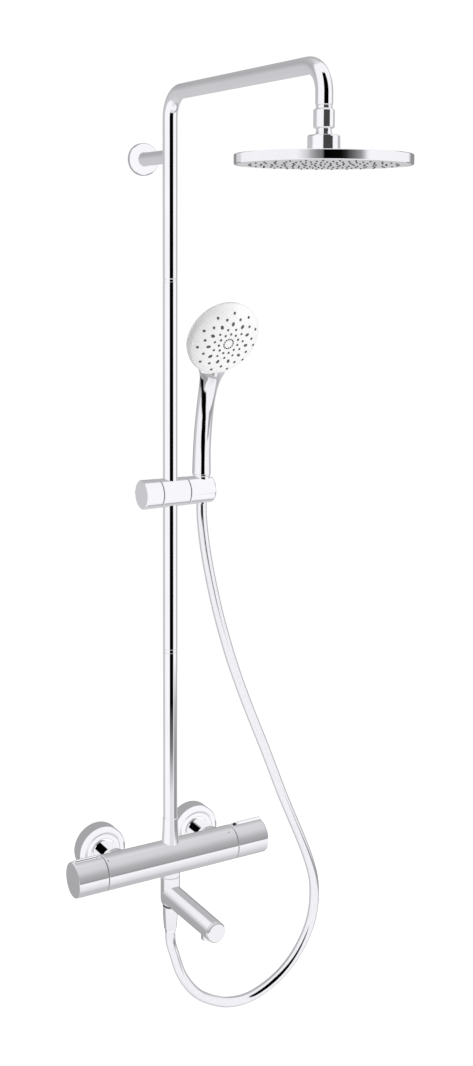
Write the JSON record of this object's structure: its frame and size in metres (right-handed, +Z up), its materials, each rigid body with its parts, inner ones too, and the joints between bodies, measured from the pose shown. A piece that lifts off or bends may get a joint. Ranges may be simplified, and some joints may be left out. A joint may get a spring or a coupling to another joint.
{
  "type": "thermostatic rainfall shower column",
  "caption": "Wall-mounted thermostatic bar mixer with a riser, a fixed round rain head on a bent arm, a sliding handset on a hose and a swivelling bath spout.",
  "frame": {"origin": "on the finished wall, midway between the two water inlets", "axes": "+X along the mixer bar to the viewer's right, +Z up, +Y into the wall"},
  "size_m": [0.3787, 0.554, 1.3104],
  "materials": {
    "chrome": "mirror-polished chrome plate on brass and steel",
    "hose_skin": "smooth silver-lined reinforced PVC hose skin",
    "brass": "bare machined brass",
    "steel": "plain stainless steel",
    "rubber": "black sealing rubber",
    "dark_plastic": "black acetal",
    "white_plastic": "white satin plastic",
    "grey_plastic": "grey plastic",
    "silicone": "grey silicone"
  },
  "bodies": {
    "column": {"wall_rose_left": "chrome", "wall_rose_right": "chrome", "eccentric_union_left": "chrome", "eccentric_union_right": "chrome", "inlet_washer_left": "rubber", "inlet_washer_right": "rubber", "union_nut_left": "chrome", "union_nut_right": "chrome", "mixer_body": "chrome", "thermostatic_cartridge": "brass", "flow_cartridge": "brass", "temperature_stop_ring": "dark_plastic", "flow_stop_ring": "dark_plastic", "riser_lower_tube": "chrome", "riser_lower_connector": "chrome", "riser_middle_tube": "chrome", "riser_upper_connector": "chrome", "head_arm": "chrome", "bracket_rosette": "chrome", "bracket_wall_plate": "steel", "bracket_wall_screw": "steel", "bracket_arm": "chrome", "bracket_tube_screw": "steel", "arm_end_ring": "chrome", "swivel_sleeve": "chrome", "ball_stud": "chrome", "outlet_core": "brass", "spout_o_ring": "rubber", "spout_retaining_ring": "dark_plastic", "hose_nut_lower": "chrome", "hose_ferrule_lower": "chrome", "hose": "hose_skin"},
    "temperature_handle": {"temperature_handle": "chrome"},
    "safety_button": {"safety_stop_button": "chrome"},
    "flow_handle": {"flow_handle": "chrome"},
    "eco_button": {"eco_stop_button": "dark_plastic"},
    "ball_liner": {"ball_liner": "white_plastic"},
    "ball_seat": {"ball_seat": "dark_plastic"},
    "rain_head": {"head_boss": "chrome", "head_inlet_seal": "rubber", "rain_head_shell": "chrome", "rain_head_spray_plate": "chrome", "rain_head_nozzle_mat": "silicone"},
    "spout": {"spout_body": "chrome", "spout_end_cap": "chrome", "spout_aerator": "grey_plastic"},
    "slide_bush": {"slider_bush": "dark_plastic"},
    "slider": {"slider_clamp": "chrome", "knob_washer": "dark_plastic", "holder_washer": "dark_plastic", "holder_pivot": "steel"},
    "clamp_knob": {"clamp_knob": "chrome", "clamp_screw": "steel"},
    "holder": {"handset_holder": "chrome"},
    "hose_nut": {"hose_nut_upper": "chrome", "hose_ferrule_upper": "chrome"},
    "handset": {"handset_shell": "chrome", "handset_faceplate": "white_plastic", "handset_nozzle_mat": "silicone"},
    "spray_selector": {"spray_selector_ring": "white_plastic"}
  },
  "joints": [
    {"name": "temperature_turn", "type": "hinge", "parent": "column", "child": "temperature_handle", "pos_m": [-0.12, -0.084, 0], "axis": [1, 0, 0], "range_deg": [-70, 120]},
    {"name": "safety_stop_press", "type": "slide", "parent": "temperature_handle", "child": "safety_button", "axis": [0, 0, -1], "range_m": [0, 0.0015], "stiffness_N_per_m": 900},
    {"name": "flow_turn", "type": "hinge", "parent": "column", "child": "flow_handle", "pos_m": [0.12, -0.084, 0], "axis": [1, 0, 0], "range_deg": [-90, 90]},
    {"name": "eco_stop_press", "type": "slide", "parent": "flow_handle", "child": "eco_button", "axis": [0, 0, -1], "range_m": [0, 0.0015], "stiffness_N_per_m": 900},
    {"name": "head_tilt_fore_aft", "type": "hinge", "parent": "column", "child": "ball_liner", "pos_m": [0, -0.454, 0.9767], "axis": [1, 0, 0], "range_deg": [-12, 12]},
    {"name": "head_tilt_sideways", "type": "hinge", "parent": "ball_liner", "child": "ball_seat", "pos_m": [0, -0.454, 0.9767], "axis": [0, 1, 0], "range_deg": [-12, 12]},
    {"name": "head_spin", "type": "hinge", "parent": "ball_seat", "child": "rain_head", "pos_m": [0, -0.454, 0.9767], "axis": [0, 0, 1], "continuous": true},
    {"name": "spout_swing", "type": "hinge", "parent": "column", "child": "spout", "pos_m": [0, -0.084, -0.0545], "axis": [0, 0, 1], "range_deg": [-90, 90]},
    {"name": "slider_slide", "type": "slide", "parent": "column", "child": "slide_bush", "axis": [0, 0, 1], "range_m": [-0.19, 0.18], "deforming": ["hose"]},
    {"name": "slider_swivel", "type": "hinge", "parent": "slide_bush", "child": "slider", "pos_m": [0, -0.084, 0.519], "axis": [0, 0, 1], "range_deg": [-60, 60]},
    {"name": "clamp_knob_turn", "type": "hinge", "parent": "slider", "child": "clamp_knob", "pos_m": [-0.03, -0.084, 0.519], "axis": [-1, 0, 0], "range_deg": [0, 120]},
    {"name": "holder_tilt", "type": "hinge", "parent": "slider", "child": "holder", "pos_m": [0.04, -0.084, 0.519], "axis": [1, 0, 0], "range_deg": [0, 30]},
    {"name": "handset_lift", "type": "slide", "parent": "holder", "child": "hose_nut", "axis": [0, 0, 1], "range_m": [0, 0.05]},
    {"name": "handset_swivel", "type": "hinge", "parent": "hose_nut", "child": "handset", "pos_m": [0.049, -0.084, 0.541], "axis": [0, 0, 1], "range_deg": [-25, 60]},
    {"name": "spray_selector_turn", "type": "hinge", "parent": "handset", "child": "spray_selector", "pos_m": [0.049, -0.1581, 0.7258], "axis": [-0.0339, 0.8909, 0.4529], "range_deg": [-30, 30]}
  ]
}
